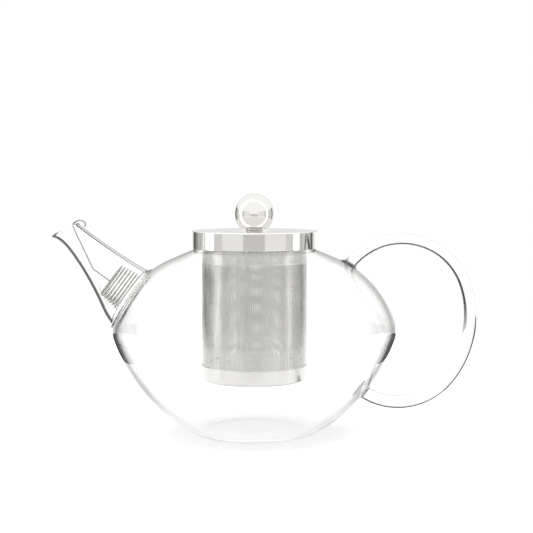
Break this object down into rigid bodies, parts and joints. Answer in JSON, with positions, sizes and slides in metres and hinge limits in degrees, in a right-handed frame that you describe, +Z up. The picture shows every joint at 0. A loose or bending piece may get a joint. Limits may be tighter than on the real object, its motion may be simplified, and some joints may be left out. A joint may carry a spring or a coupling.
{
  "type": "teapot",
  "caption": "Clear glass teapot with a lift-out perforated steel infuser, a steel lid with a ball knob, a rod handle and a wire strainer in its spout.",
  "frame": {"origin": "centre of the flat foot, on the surface that the pot stands on", "axes": "+X from the pot's axis to the handle, with the spout along -X; +Z up along the pot's axis"},
  "size_m": [0.237, 0.1582, 0.1345],
  "materials": {
    "vessel_glass": "clear blown borosilicate glass",
    "wire_steel": "drawn stainless wire",
    "infuser_steel": "satin stainless sheet",
    "screen_steel": "finely perforated stainless foil",
    "polished_steel": "mirror-polished stainless steel",
    "washer_silicone": "translucent silicone",
    "screw_steel": "turned stainless steel"
  },
  "bodies": {
    "vessel": {"glass_body": "vessel_glass", "glass_neck": "vessel_glass", "spout": "vessel_glass", "handle": "vessel_glass", "spout_strainer": "wire_steel"},
    "infuser": {"infuser_rim": "infuser_steel", "infuser_screen": "screen_steel", "infuser_base": "infuser_steel"},
    "lid": {"lid_cap": "polished_steel", "knob_collar": "polished_steel", "knob_ball": "polished_steel", "knob_washer": "washer_silicone", "knob_screw": "screw_steel"}
  },
  "joints": [
    {"name": "infuser_lift", "type": "slide", "parent": "vessel", "child": "infuser", "axis": [0, 0, 1], "range_m": [0, 0.095]},
    {"name": "lid_lift", "type": "slide", "parent": "infuser", "child": "lid", "axis": [0, 0, 1], "range_m": [0, 0.05]}
  ]
}
